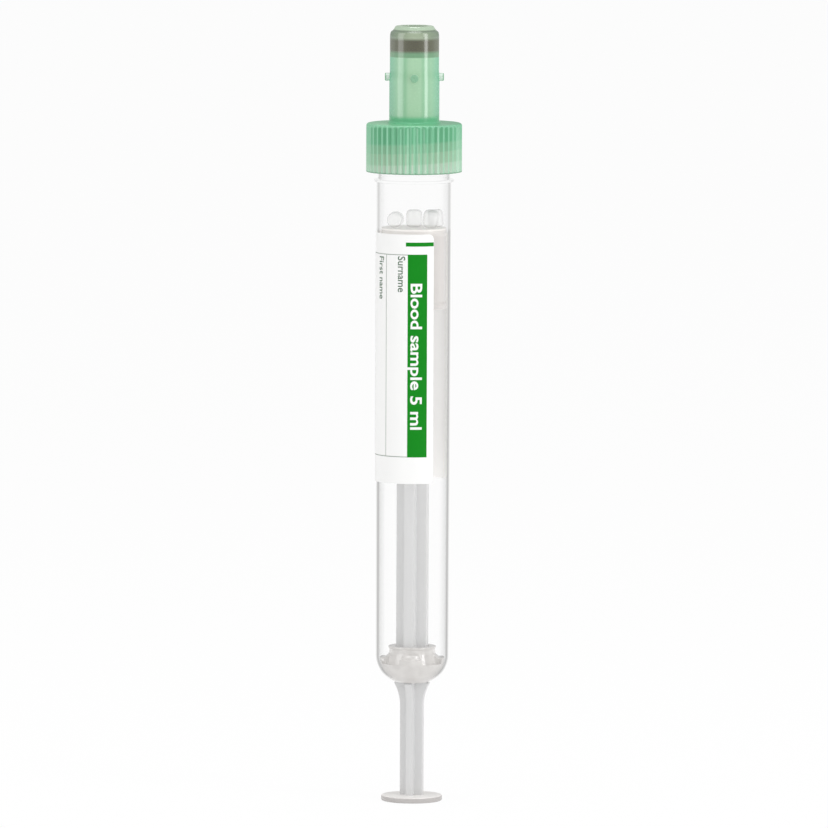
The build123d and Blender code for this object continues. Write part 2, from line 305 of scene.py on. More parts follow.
def plastic(name, colour, roughness=0.3, streaks=0.06, bump=0.02, coat=0.0):
    """Principled plastic with the mould's skin. Returns the material, its group and its shader."""
    material = bpy.data.materials.new(name)
    material.use_nodes = True
    shader = shader_of(material)
    group = material.node_tree.nodes.new("ShaderNodeGroup")
    group.node_tree = MOULD_SKIN
    group.inputs["Colour"].default_value = colour
    group.inputs["Streaks"].default_value = streaks
    group.inputs["Roughness"].default_value = roughness
    raised = node(material, "Bump", Strength=bump, Distance=0.0001)
    shader.inputs["Coat Weight"].default_value = coat
    shader.inputs["Coat Roughness"].default_value = 0.08
    wire(
        material,
        (group.outputs["Colour"], shader.inputs["Base Color"]),
        (group.outputs["Roughness"], shader.inputs["Roughness"]),
        (group.outputs["Height"], raised.inputs["Height"]),
        (raised.outputs["Normal"], shader.inputs["Normal"]),
    )
    print("finish:", name)
    return material, group, shader


def over(material, mask, under_colour, top_colour):
    """A Mix node of two colours. Either may be a fixed colour or another node's output."""
    mix = node(material, "Mix")
    mix.data_type = "RGBA"
    wire(material, (mask, mix.inputs["Factor"]))
    for name, value in (("A", under_colour), ("B", top_colour)):
        if isinstance(value, tuple):
            mix.inputs[name].default_value = value
        else:
            wire(material, (value, mix.inputs[name]))
    return mix.outputs["Result"]


def painted_grazing_light(material, middle, rim):
    """Painted light: a colour that goes from `middle`, seen head on, to a paler `rim` where the surface
    turns away.
    """
    return over(material, facing_of(material, 0.3), middle, rim)


# %% [markdown]
# Light goes through thin plastic. Real scattering inside it would be slow and noisy to render.
# So a share of the light's rays simply passes, and a milky piece that is lit from behind is given
# a faint glow: painted light for the light that comes through it.

# %% Light through thin plastic
def rays(material, *kinds):
    """1 for the rays of these kinds, as the Light Path node names them, and 0 for the others."""
    path = node(material, "LightPath")
    found = path.outputs[kinds[0]]
    for kind in kinds[1:]:
        found = number_node(material, "MAXIMUM", found, path.outputs[kind])
    return found


def show(material, share, under, top):
    """The material shows `top` by that share and `under` for the rest."""
    mix = node(material, "MixShader")
    wire(
        material,
        (share, mix.inputs["Fac"]),
        (under, mix.inputs[1]),
        (top, mix.inputs[2]),
        (mix.outputs["Shader"], material.node_tree.nodes["Material Output"].inputs["Surface"]),
    )


def lets_light(material, share):
    """Rays that carry light, from lamps or from one piece to another, pass by that share."""
    light = rays(material, "Is Shadow Ray", "Is Diffuse Ray")
    passing = number_node(material, "MULTIPLY", light, share)
    clear = node(material, "BsdfTransparent").outputs["BSDF"]
    show(material, passing, shader_of(material).outputs["BSDF"], clear)


def glow(shader, strength, colour=(1, 1, 1, 1)):
    """Painted light: a faint emission in place of light that has come through from behind."""
    shader.inputs["Emission Color"].default_value = colour
    shader.inputs["Emission Strength"].default_value = strength


BLACK = (0, 0, 0, 1)


# %% [markdown]
# The tube's wall is clear. Seen head on it is almost nothing. Near its sides, the light that
# reaches the eye has run along inside the wall: a thin veil first, then one dark line where the
# light is lost, and a pale rim outside it. All three depend on how far the surface turns away
# and on nothing else, so Layer Weight's Facing, through two ramps, gives the wall its colour and
# how much of it is seen. What is behind it shows straight through.

# %% Clear plastic
def ramp(material, value, *stops):
    """A Color Ramp of (place, colour or grey) stops, as a colour output."""
    made = material.node_tree.nodes.new("ShaderNodeValToRGB")
    points = made.color_ramp.elements
    while len(points) < len(stops):
        points.new(1.0)
    for point, (place, shade) in zip(points, stops):
        point.position = place
        point.color = shade if isinstance(shade, tuple) else (shade, shade, shade, 1.0)
    wire(material, (value, made.inputs["Fac"]))
    return made.outputs["Color"]


# How far the edge line has grown out of the veil, as (Facing, share).
GROWTH = [(0.32, 0.0), (0.41, 0.1), (0.48, 0.2), (0.54, 0.34), (0.59, 0.6), (0.64, 1.0), (0.72, 0.97)]


def clear_plastic(name, pale, dark, veil, line, rim):
    """Clear plastic whose veil, edge line and rim hide that share of what is behind them."""
    material, group, shader = plastic(name, (1, 1, 1, 1), roughness=0.05, streaks=0.02, bump=0.01)
    facing = facing_of(material)
    between = tuple((p + d) / 2 for p, d in zip(pale, dark))
    colour = ramp(material, facing, (0.28, pale), (0.42, dark), (0.72, dark), (0.86, between))
    grown = [(at, veil + (line - veil) * part) for at, part in GROWTH]
    hides = ramp(material, facing, *grown, (0.81, rim))
    front = number_node(material, "SUBTRACT", 1.0, node(material, "NewGeometry").outputs["Backfacing"])
    hides = number_node(material, "MULTIPLY", hides, front)
    wire(material, (colour, group.inputs["Colour"]), (hides, shader.inputs["Alpha"]))
    return material, hides, shader


CLEAR, LINE_GREY = srgb(250, 249, 245), srgb(112, 112, 110)
WALL, wall_hides, wall_shader = clear_plastic("clear wall", CLEAR, LINE_GREY, 0.04, 0.68, 0.42)
WALL_INSIDE, _, _ = clear_plastic("clear wall inside", CLEAR, LINE_GREY, 0.01, 0.02, 0.02)

# %% [markdown]
# Where the thick milky base fills the tube there is no air inside for the light to be lost
# against, so the line fades out round the bowl. Over the piston only air lies behind the wall,
# and the line is paler, and paler still on the lip.

# %% The wall's line changes with the height
AIR_TAKES, LIP_TAKES = 0.35, 0.3
wall_z = height_of(WALL)
over_bowl = step_node(WALL, wall_z, BASE + 0.5, BASE + 2.4)
over_piston = step_node(WALL, wall_z, PISTON_TOP - 0.6, PISTON_TOP + 0.2)
on_lip = ring_mask(WALL, wall_z, LIP - 0.05, LIP + 0.45, 0.05)
share = number_node(WALL, "MULTIPLY_ADD", over_piston, -AIR_TAKES, over_bowl)
share = number_node(WALL, "MULTIPLY_ADD", on_lip, -LIP_TAKES, share)
wire(WALL, (number_node(WALL, "MULTIPLY", wall_hides, share), wall_shader.inputs["Alpha"]))
print("the wall's line is whole from", round(BASE + 2.4, 2), "to", round(PISTON_TOP - 0.6, 2))

# %% [markdown]
# The tube is turned: a profile runs up the outside from the hole in the base to the neck's rim
# and down the bore again. The base is a bowl, a quarter of a circle on each side. The outside
# tapers a little towards the base, as a moulded tube does so that it leaves its mould.

# %% Tube wall
BORE = 5.3
FOOT, SHANK, NECK, LIP_R, LIP_THICK = 5.9, 6.06, 5.85, 6.5, 0.4
BOWL = 4.75
HOLE = 2.72


def bowl(r, inwards=0.0):
    """Height of the base at radius r: R - sqrt((R - inwards)^2 - (r - r0)^2), r0 = foot - R."""
    return BASE + BOWL - np.sqrt((BOWL - inwards) ** 2 - (r - FOOT + BOWL) ** 2)


def bowl_line(start, end, inwards=0.0, steps=22):
    """Points along the bowl between two radii, closer together where it is steep."""
    low, high = [np.arcsin(min((r - FOOT + BOWL) / (BOWL - inwards), 1)) for r in (start, end)]
    turn = np.linspace(low, high, steps)
    r = FOOT - BOWL + (BOWL - inwards) * np.sin(turn)
    return np.stack([r, BASE + BOWL - (BOWL - inwards) * np.cos(turn)], axis=-1)


upper = [
    (FOOT, BASE + BOWL + 0.3), (SHANK, LIP), (LIP_R, LIP), (LIP_R, LIP + LIP_THICK),
    (NECK, LIP + LIP_THICK), (NECK, RIM), (BORE, RIM), (BORE, BASE + BOWL + 0.1),
]
upper_line = soften(upper, [0, 0.12, 0.12, 0.12, 0.1, 0.15, 0.15, 0], steps=7, closed=False)
outer_bowl = bowl_line(HOLE + 0.1, FOOT)
inner_bowl = bowl_line(HOLE + 0.1, BORE, FOOT - BORE)[::-1]
wall_line = np.concatenate([outer_bowl, upper_line, inner_bowl])
wall = skin("tube_wall", turned(wall_line, 192), wrap_rows=True)
dress(wall, "tube_body", "tube", WALL)
wall.data.materials.append(WALL_INSIDE)


def mark_inside(piece):
    """Faces whose normal looks at the axis, n . (x, y) < 0, take the piece's second finish."""
    faces = piece.data.polygons
    centre, normal = np.zeros((2, len(faces) * 3))
    faces.foreach_get("center", centre)
    faces.foreach_get("normal", normal)
    inwards = (centre.reshape(-1, 3) * normal.reshape(-1, 3))[:, :2].sum(axis=1) < 0
    faces.foreach_set("material_index", inwards.astype(int))
    print(piece.name, inwards.sum(), "faces look inwards")


mark_inside(wall)

# %% [markdown]
# A screw thread is one small section carried along a helix. Its height fades in and out at its
# two ends, which closes the ridge and is how a real one starts. The turn is right-handed: the
# ridge climbs as it goes anticlockwise, seen from above.

# %% Threads
def thread(name, radius, outward, start, turns, root=1.0, depth=0.45, pitch=2.0):
    """Section point (d, h) at turn t lies at radius + d, height start + pitch t / 2 pi + h."""
    turn = np.linspace(0, turns * 2 * pi, int(turns * 96))[:, None]
    ends = np.minimum(smooth_step(turn, 0, 0.5), smooth_step(turns * 2 * pi - turn, 0, 0.5))
    d = np.array([-0.1, 0.0, 0.5, 0.93, 1.0, 1.0, 0.93, 0.5, 0.0, -0.1]) * depth
    h = np.array([-1.0, -1.0, -0.75, -0.56, -0.45, 0.45, 0.56, 0.75, 1.0, 1.0]) * root / 2
    r = radius + outward * (d * ends + (1 - ends) * np.minimum(d, 0) - 0.02)
    z = start + pitch * turn / (2 * pi) + h * (0.3 + 0.7 * ends)
    grid = np.stack([r * np.cos(turn), r * np.sin(turn), z], axis=-1)
    ends_in = np.repeat(grid[[0, -1]].mean(axis=1, keepdims=True), grid.shape[1], axis=1)
    return skin(name, np.concatenate([ends_in[:1], grid, ends_in[1:]]), sharp=50)


neck_thread = thread("neck_thread", NECK, 1, RIM - 6.2, 1.65)
dress(neck_thread, "tube_body", "tube", WALL)

# %% [markdown]
# Inside the rounded base sits the part of the moulding that guides the rod: a collar round the
# hole, and four webs that carry it. It is the same plastic, but thick, so it looks milky. The
# shape blends two profiles, one through a web and one through a pocket, round the axis.

# %% Milky plastic
MILKY, milky_group, milky_shader = plastic("milky plastic", srgb(190, 187, 184), 0.3, 0.08, 0.02, 1.0)
# Painted light: a faint glow lifts the whole base.
glow(milky_shader, 0.1, (1.0, 0.97, 0.94, 1.0))
milky_shader.inputs["Coat IOR"].default_value = 1.8
cloudy = node(MILKY, "TexNoise", Scale=420.0, Detail=1.0)
wire(MILKY, (node(MILKY, "TexCoord").outputs["Object"], cloudy.inputs["Vector"]))
clouds = ramp(MILKY, cloudy.outputs["Fac"], (0.46, 0.0), (0.6, 0.6))
# Painted light: faces seen at a grazing angle, such as the tops of the webs and collar, are paler.
milky_tone = painted_grazing_light(MILKY, srgb(192, 189, 186), srgb(208, 205, 202))
milky_tone = over(MILKY, clouds, milky_tone, srgb(210, 207, 204))
wire(MILKY, (milky_tone, milky_group.inputs["Colour"]))
lets_light(MILKY, 0.6)

# %% Base with its collar and webs
WEB_HEIGHT = 4.4
WEB_TOP = BASE + WEB_HEIGHT
WEB_R = BORE - 0.04
COLLAR, COLLAR_TOP = 3.74, BASE + 6.2
under = [(HOLE, BASE + 0.75), (HOLE, bowl(HOLE, 0.04))]
under += [(3.5, bowl(3.5, 0.1)), (4.3, bowl(4.3, 0.2)), (4.9, bowl(4.9, 0.35))]
through_web = under + [
    (WEB_R, WEB_TOP - 0.9), (WEB_R, WEB_TOP), (4.75, WEB_TOP), (4.45, WEB_TOP),
    (COLLAR, WEB_TOP + 0.55), (COLLAR, COLLAR_TOP - 0.45), (COLLAR + 0.14, COLLAR_TOP - 0.25),
    (COLLAR + 0.1, COLLAR_TOP), (HOLE, COLLAR_TOP),
]
through_pocket = list(through_web)
through_pocket[5:9] = [
    (WEB_R, WEB_TOP - 0.9), (WEB_R - 0.1, WEB_TOP - 0.95), (BORE - 0.4, bowl(4.9, 0.6)),
    (4.4, bowl(4.4, 0.6)),
]
base_radii = [0.1, 0.1, 0.4, 0.4, 0.3, 0.3, 0.12, 0.12, 0.12, 0.35, 0.12, 0.08, 0.12, 0.12]
web_line, pocket_line = soften(through_web, base_radii), soften(through_pocket, base_radii)


def between_webs(turn, count=4, arc=44.0, first=-93.0):
    """1 inside a pocket, 0 on a web, with a steep smooth flank between them."""
    away = np.abs((np.degrees(turn) - first + 180 / count) % (360 / count) - 180 / count)
    return smooth_step(away, arc / 2 - 1.5, arc / 2 + 1.5)


turn = np.arange(240) * 2 * pi / 240
pocket = between_webs(turn)[None, :, None]
mixed = web_line[:, None] * (1 - pocket) + pocket_line[:, None] * pocket
r, z = mixed[..., 0], mixed[..., 1]
base = skin("tube_base", np.stack([r * np.cos(turn), r * np.sin(turn), z], -1), wrap_rows=True)
dress(base, "tube_body", "tube", MILKY)

# %% [markdown]
# The screw cap is soft polyethylene, green and a little translucent. Light that comes through
# shows what lies behind the skirt: the thick plate and the plug as a deep band, and the turns
# of the thread as steps in tone towards the foot. A ramp over the skirt's height paints them
# where those parts are. The height is tilted a little, because a thread's turns are slanted.

# %% Green plastic
THREAD_SLANT = -0.05
CAP_GREEN, cap_group, cap_shader = plastic("cap green", srgb(150, 206, 170), 0.24, 0.1, 0.02, 0.6)
cap_shader.inputs["Specular IOR Level"].default_value = 0.2
cap_at = place_of(CAP_GREEN)
slanted = number_node(CAP_GREEN, "MULTIPLY_ADD", cap_at["X"], THREAD_SLANT, cap_at["Z"])
cap_share = node(CAP_GREEN, "MapRange")
cap_share.inputs["From Min"].default_value = CAP_FOOT * MM
cap_share.inputs["From Max"].default_value = CAP_FACE * MM
wire(CAP_GREEN, (slanted, cap_share.inputs["Value"]))
# The ramp's last stop paints the plate and its rounded edge paler: a painted sheen.
cap_tone = ramp(
    CAP_GREEN, cap_share.outputs["Result"],
    (0.0, srgb(194, 214, 196)), (0.19, srgb(190, 211, 190)), (0.22, srgb(166, 199, 170)),
    (0.42, srgb(160, 196, 166)), (0.45, srgb(140, 189, 154)), (0.6, srgb(134, 186, 150)),
    (0.65, srgb(101, 177, 134)), (0.96, srgb(98, 176, 131)), (0.99, srgb(124, 196, 150)),
)
# Painted sheen: the skirt is paler where it turns away from the eye.
cap_facing = facing_of(CAP_GREEN)
painted_side_sheen = ramp(CAP_GREEN, cap_facing, (0.02, 0.0), (0.17, 0.62), (0.5, 0.62), (0.8, 0.0))
cap_colour = over(CAP_GREEN, painted_side_sheen, cap_tone, srgb(150, 214, 178))
cap_edge = step_node(CAP_GREEN, height_of(CAP_GREEN), CAP_FOOT + 0.3, CAP_FOOT + 0.1)
cap_colour = over(CAP_GREEN, cap_edge, cap_colour, srgb(128, 172, 142))
cap_polish = ramp(CAP_GREEN, cap_facing, (0.0, 0.6), (0.6, 0.5), (0.8, 0.0))
wire(
    CAP_GREEN,
    (cap_colour, cap_group.inputs["Colour"]),
    (cap_polish, cap_shader.inputs["Coat Weight"]),
)

# %% [markdown]
# The skirt's grip is a ring of fine ribs. The grooves between them are cut into the radius of
# the turned profile, and run out through the cap's rounded shoulder.

# %% Cap body
SKIRT, GROOVES, GROOVE_DEEP, GROOVE_SHARE = 7.73, 45, 0.3, 0.68
CAP_BORE, CEILING, PLUG, PLUG_WALL, PLUG_DEEP = 6.45, RIM + 0.05, 5.24, 0.8, 2.3
cap_corners = [
    (CAP_BORE + 0.35, CAP_FOOT), (SKIRT, CAP_FOOT), (SKIRT, CAP_FACE - 1.2), (SKIRT, CAP_FACE),
    (3.4, CAP_FACE), (3.0, CAP_FACE - 0.2), (3.0, CEILING), (PLUG - PLUG_WALL, CEILING),
    (PLUG - PLUG_WALL, CEILING - PLUG_DEEP), (PLUG, CEILING - PLUG_DEEP), (PLUG, CEILING),
    (CAP_BORE, CEILING), (CAP_BORE, CAP_FOOT + 0.35),
]
cap_radii = [0.1, 0.12, 0.1, 0.62, 0.1, 0.1, 0.1, 0.1, 0.1, 0.25, 0.1, 0.1, 0.15]
cap_line = soften(cap_corners, cap_radii, steps=7)
climb = np.linspace(CAP_FOOT + 0.3, CAP_FACE - 1.5, 24)
outer_end = int(np.argmax(cap_line[:, 1] > CAP_FOOT + 1.0))
skirt_line = np.stack([np.full(len(climb), SKIRT), climb], -1)
cap_line = np.concatenate([cap_line[:outer_end], skirt_line, cap_line[outer_end:]])


def grooved(r, z, turn):
    """Radius less the groove: a V with a soft bottom, 45 times round, running out at its top."""
    away = np.abs((turn * GROOVES / (2 * pi)) % 1 - 0.5) * 2
    groove = np.clip(1 - (1 - away) / GROOVE_SHARE, 0, 1) ** 0.8
    fade = 1 - smooth_step(z, CAP_FACE - 0.5, CAP_FACE - 0.05)
    grip = (r > SKIRT - 0.4) * np.where(r > SKIRT - 0.13, 1, 0.7)
    return r - GROOVE_DEEP * groove * fade * grip, z


cap_body = skin("cap_body", turned(cap_line, GROOVES * 14, grooved), wrap_rows=True, sharp=42)
dress(cap_body, "cap", "screw_cap", CAP_GREEN)

cap_thread = thread("cap_thread", CAP_BORE, -1, RIM - 5.2, 1.3)
dress(cap_thread, "cap", "screw_cap", CAP_GREEN)

# %% [markdown]
# The nozzle is a plain tube on the plate. Through its wall shows the rubber membrane as a brown
# band, with the ledge that holds it as a darker green ring underneath. The tip above is solid
# and looks greyer.

# %% Nozzle plastic
NOZZLE_GREEN, nozzle_group, nozzle_shader = plastic(
    "nozzle green", srgb(165, 212, 175), 0.2, 0.06, 0.004, 1.0
)
for name, value in (("Coat IOR", 1.9), ("Coat Roughness", 0.17), ("Specular IOR Level", 0.2)):
    nozzle_shader.inputs[name].default_value = value
nozzle_z, nozzle_facing = height_of(NOZZLE_GREEN), facing_of(NOZZLE_GREEN)
# Painted shade: the wall darkens where it turns away, with a darker band near the middle for the bore that
# shows through. The tip's ramp darkens to its sides the same way.
tone = ramp(
    NOZZLE_GREEN, nozzle_facing,
    (0.0, srgb(160, 205, 165)), (0.03, srgb(158, 204, 164)), (0.07, srgb(132, 190, 146)),
    (0.13, srgb(136, 192, 150)), (0.25, srgb(150, 202, 162)), (0.5, srgb(122, 192, 152)),
    (0.85, srgb(96, 180, 140)),
)
tip_tone = ramp(
    NOZZLE_GREEN, nozzle_facing,
    (0.0, srgb(160, 176, 148)), (0.12, srgb(138, 156, 128)), (0.7, srgb(112, 132, 110)),
)
rubber_tone = ramp(
    NOZZLE_GREEN, nozzle_facing,
    (0.0, srgb(56, 56, 12)), (0.1, srgb(70, 72, 38)), (0.8, srgb(84, 92, 64)),
)
# Painted shade: the foot is a deeper green, where the plate behind the wall takes the light.
foot_zone = step_node(NOZZLE_GREEN, nozzle_z, CAP_FACE + 1.5, CAP_FACE + 0.7)
ledge = ring_mask(NOZZLE_GREEN, nozzle_z, RUBBER_LOW - 0.75, RUBBER_LOW + 0.2)
tip = step_node(NOZZLE_GREEN, nozzle_z, RUBBER_HIGH - 0.7, RUBBER_HIGH - 0.1)
rubber_seen = ring_mask(NOZZLE_GREEN, nozzle_z, RUBBER_LOW + 0.1, RUBBER_HIGH - 0.1, 0.3)
# Painted shade: a dark line at the rim's foot. Painted light: the rim's top face, which faces up, is paler.
rim_foot = ring_mask(NOZZLE_GREEN, nozzle_z, NOZZLE_TOP - 0.82, NOZZLE_TOP - 0.7, 0.05)
rim_face = step_node(NOZZLE_GREEN, nozzle_z, NOZZLE_TOP - 0.66, NOZZLE_TOP - 0.5)
# Each row lies over the rows before it.
for mask, colour in (
    (foot_zone, srgb(112, 190, 145)),
    (ledge, srgb(98, 150, 108)),
    (tip, tip_tone),
    (rubber_seen, rubber_tone),
    (rim_foot, srgb(104, 122, 100)),
    (rim_face, srgb(176, 198, 172)),
):
    tone = over(NOZZLE_GREEN, mask, tone, colour)
polish = ramp(NOZZLE_GREEN, nozzle_facing, (0.45, 1.0), (0.75, 0.15))
polish = number_node(NOZZLE_GREEN, "SUBTRACT", polish, foot_zone)
wire(NOZZLE_GREEN, (tone, nozzle_group.inputs["Colour"]), (polish, nozzle_shader.inputs["Coat Weight"]))

# %% Nozzle
LEDGE, SEAT_R, SEAT_DEEP, PLAY = 0.7, 3.24, 1.88, 0.04
nozzle_corners = [
    (3.0, CEILING + 0.3), (4.3, CEILING + 0.6), (4.35, CAP_FACE + 0.02), (4.05, CAP_FACE + 0.3),
    (4.05, CAP_FACE + 7.4), (3.97, CAP_FACE + 8.4), (3.97, NOZZLE_TOP - 1.5),
    (3.84, NOZZLE_TOP - 0.96), (3.55, NOZZLE_TOP - 0.76), (3.46, NOZZLE_TOP - 0.7),
    (3.02, NOZZLE_TOP), (2.2, NOZZLE_TOP), (2.2, NOZZLE_TOP - SEAT_DEEP),
    (SEAT_R, NOZZLE_TOP - SEAT_DEEP), (SEAT_R, RUBBER_LOW - PLAY), (2.55, RUBBER_LOW - PLAY),
    (2.55, RUBBER_LOW - PLAY - LEDGE), (3.0, RUBBER_LOW - PLAY - LEDGE),
]
nozzle_radii = [0.05, 0.05, 0.2, 0.25, 0.3, 0.3, 0.6, 0.25, 0.06, 0.06, 0.15, 0.1, 0.1]
nozzle_radii += [0.05, 0.05, 0.05, 0.1, 0.1]
nozzle = skin("nozzle", turned(soften(nozzle_corners, nozzle_radii), 144), wrap_rows=True)
dress(nozzle, "cap", "screw_cap", NOZZLE_GREEN)

# %% [markdown]
# Four short pins round the nozzle lock the needle on. They are thin, so they look pale, with a
# greener rim at the end. Each is turned about its own axis with a rounded end, then laid outwards.

# %% Lock pins
PIN_LEVEL, PIN_R, PIN_START, PIN_END = CAP_FACE + 7.42, 0.65, 3.5, 4.75
PIN_GREEN, pin_group, _ = plastic("pin green", srgb(206, 226, 208), 0.22, 0.05, 0.02, 0.2)
pin_at = place_of(PIN_GREEN)
pin_sides = [number_node(PIN_GREEN, "ABSOLUTE", pin_at[axis]) for axis in "XY"]
pin_out = number_node(PIN_GREEN, "MAXIMUM", *pin_sides)
pin_end = step_node(PIN_GREEN, pin_out, (PIN_END - 0.23) * MM, (PIN_END - 0.15) * MM)
pin_tone = over(PIN_GREEN, pin_end, srgb(226, 240, 230), srgb(132, 184, 148))
wire(PIN_GREEN, (pin_tone, pin_group.inputs["Colour"]))
pin_corners = [(0, PIN_START), (PIN_R, PIN_START), (PIN_R, PIN_END), (0, PIN_END + 0.02)]
upright = turned(soften(pin_corners, [0, 0.05, 0.2, 0], closed=False), 40)
out, side, up = upright[..., 2], upright[..., 0], upright[..., 1] + PIN_LEVEL
for count in range(4):
    c, s = cos(count * pi / 2), sin(count * pi / 2)
    pin = skin(f"lock_pin_{count + 1}", np.stack([out * c - side * s, out * s + side * c, up], -1))
    dress(pin, "cap", "screw_cap", PIN_GREEN)

# %% [markdown]
# The membrane is a moulded rubber disc. Its boss fills the hole in the nozzle's tip and has a
# shallow dish where the needle is meant to go in.

# %% Membrane
RUBBER, _, _ = plastic("brown rubber", srgb(96, 76, 64), 0.62, 0.25, 0.25)
boss = RUBBER_HIGH + 1.05
rubber_corners = [
    (0, RUBBER_LOW + 0.6), (1.3, RUBBER_LOW + 0.6), (1.5, RUBBER_LOW), (3.2, RUBBER_LOW),
    (3.2, RUBBER_HIGH), (2.15, RUBBER_HIGH), (2.15, boss), (1.5, boss),
    (0.9, boss - 0.16), (0, boss - 0.22),
]
rubber_radii = [0, 0.15, 0.1, 0.12, 0.12, 0.05, 0.25, 0.3, 0.3, 0]
rubber = skin("rubber_membrane", turned(soften(rubber_corners, rubber_radii, closed=False), 96))
dress(rubber, "seal", "membrane", RUBBER)

# %% [markdown]
# The piston is a deep cup with a sealing lip at each end. Between the lips its wall stands
# back, so only the lips touch the bore. Its hub grips the head of the rod from inside.

# %% Piston's profile
SEALING = 5.25
WAIST = SEALING - 0.12
CUP = WAIST - 0.95
HUB_FOOT = PISTON_TOP - 5.5
piston_corners = [
    (0, HUB_FOOT + 2.75), (1.54, HUB_FOOT + 2.75), (1.54, HUB_FOOT + 1.2),
    (1.04, HUB_FOOT + 1.2), (1.04, HUB_FOOT), (2.54, HUB_FOOT), (2.54, PISTON_TOP - 1.5),
    (CUP, PISTON_TOP - 1.5), (CUP, PISTON_FOOT + 0.55), (CUP + 0.55, PISTON_FOOT),
    (SEALING, PISTON_FOOT), (SEALING, PISTON_FOOT + 0.9), (WAIST, PISTON_FOOT + 1.15),
    (WAIST, PISTON_TOP - 1.15), (SEALING, PISTON_TOP - 0.9), (SEALING, PISTON_TOP),
    (4.2, PISTON_TOP - 0.02), (0, PISTON_TOP - 0.12),
]
piston_radii = [0, 0.1, 0.05, 0.05, 0.1, 0.2, 0.4, 0.5, 0.15, 0.15, 0.22, 0.12, 0.2, 0.2, 0.12, 0.22, 0.5, 0]

# %% [markdown]
# The piston is milky: light that enters the cup from below leaves again through its thin top.
# So it is painted paler near the top and where it turns away, and its top face is given a faint glow:
# painted light.

# %% Piston plastic
PISTON_FINISH, piston_group, piston_shader = plastic(
    "piston plastic", srgb(214, 208, 205), 0.3, 0.08, 0.02, 0.25
)
piston_z = height_of(PISTON_FINISH)
near_top = step_node(PISTON_FINISH, piston_z, PISTON_TOP - 1.7, PISTON_TOP - 0.2)
piston_tone = painted_grazing_light(PISTON_FINISH, srgb(207, 202, 199), srgb(250, 246, 243))
piston_tone = over(PISTON_FINISH, near_top, piston_tone, srgb(232, 228, 224))
# Painted light: the top face glows.
top_face = step_node(PISTON_FINISH, piston_z, PISTON_TOP - 0.4, PISTON_TOP - 0.15)
glow(piston_shader, 0.22)
wire(
    PISTON_FINISH,
    (piston_tone, piston_group.inputs["Colour"]),
    (over(PISTON_FINISH, top_face, BLACK, (1, 0.99, 0.97, 1)), piston_shader.inputs["Emission Color"]),
)
piston = skin("piston_cup", turned(soften(piston_corners, piston_radii, closed=False), 160))
dress(piston, "plunger", "piston", PISTON_FINISH)

# %% [markdown]
# The rod's section is a cross of four ribs. One closed line of points round the cross is
# carried up the axis, while the reach and the thickness of the ribs change with the height:
# slim under the tube, widening in a hollow curve to the stop, and stout inside the tube.

# %% Rod plastic
ROD_WHITE, _, _ = plastic("rod white", srgb(220, 220, 220), 0.34, 0.07, 0.03, 0.1)


# %% Ribs of the rod
def cross_section(reach, thickness, turn=radians(-14.5)):
    """Corner points of a cross with ribs of that reach and thickness, softened at the tips."""
    half, r = thickness / 2, 0.09
    tip = np.array(
        [
            (half + 0.12, half),
            (reach - r, half),
            (reach - 0.25 * r, half - 0.25 * r),
            (reach, half - r),
            (reach, r - half),
            (reach - 0.25 * r, 0.25 * r - half),
            (reach - r, -half),
            (half + 0.12, -half),
            (half + 0.03, -half - 0.03),
        ]
    )
    quarter = np.arange(4)[:, None] * -pi / 2 + turn
    x = tip[None, :, 0] * np.cos(quarter) - tip[None, :, 1] * np.sin(quarter)
    y = tip[None, :, 0] * np.sin(quarter) + tip[None, :, 1] * np.cos(quarter)
    return np.stack([x, y], axis=-1).reshape(-1, 2)


STOP, FLARE, HANDLE_END = BASE + 0.17, 3.7, 0.6
NOTCH = PISTON_FOOT - WEB_HEIGHT - 0.08
SLIM, STOUT = (1.86, 1.12), (2.5, 1.66)  # reach and thickness of the ribs
STOP_REACH, NOTCH_REACH = 2.88, 1.14
flare_z = np.linspace(STOP - FLARE, STOP, 20)
flare = SLIM[0] + (STOP_REACH - SLIM[0]) * ((flare_z - flare_z[0]) / FLARE) ** 2.0
stations = [(HANDLE_END, *SLIM), (STOP - FLARE - 0.3, *SLIM)]
stations += [(z, reach, SLIM[1]) for z, reach in zip(flare_z, flare)]
stations += [(STOP + 0.01, STOP_REACH, SLIM[1]), (STOP + 0.02, *STOUT), (STOP + 0.3, *STOUT)]
stations += [(NOTCH - 1.12, *STOUT), (NOTCH - 1.1, *STOUT), (NOTCH - 0.04, NOTCH_REACH, STOUT[1])]
stations += [(NOTCH + 0.04, NOTCH_REACH, STOUT[1]), (NOTCH + 1.1, *STOUT), (NOTCH + 1.12, *STOUT)]
stations += [(PISTON_TOP - 5.9, *STOUT), (PISTON_TOP - 5.8, 2.4, 1.5)]
sections = np.array([np.column_stack([cross_section(r, t), np.full(36, z)]) for z, r, t in stations])
rod_ends = np.repeat(sections[[0, -1]].mean(axis=1, keepdims=True), sections.shape[1], axis=1)
ribs = skin("rod_ribs", np.concatenate([rod_ends[:1], sections, rod_ends[1:]]), sharp=28)
dress(ribs, "plunger", "plunger_rod", ROD_WHITE)

# %% [markdown]
# At its foot the rod has the disc that a thumb pulls and the tube stands on, and at its top the
# round head that snaps into the piston. Both are turned. The disc's top face looks up into the
# light, so it is painted paler than its edge and given a faint glow: painted light.

# %% Thumb disc and head
DISC_R, DISC_THICK = 4.94, 0.9
disc_corners = [(0, 0.06), (2.0, 0.03), (4.3, 0), (DISC_R, 0), (DISC_R, DISC_THICK)]
disc_corners += [(1.5, DISC_THICK), (0, DISC_THICK + 0.02)]
disc_line = soften(disc_corners, [0, 0.3, 0.1, 0.26, 0.26, 0.3, 0], closed=False)
disc = skin("thumb_disc", turned(disc_line, 144))
DISC_WHITE, disc_group, disc_shader = plastic("disc white", srgb(214, 213, 211), 0.3, 0.05, 0.02, 0.1)
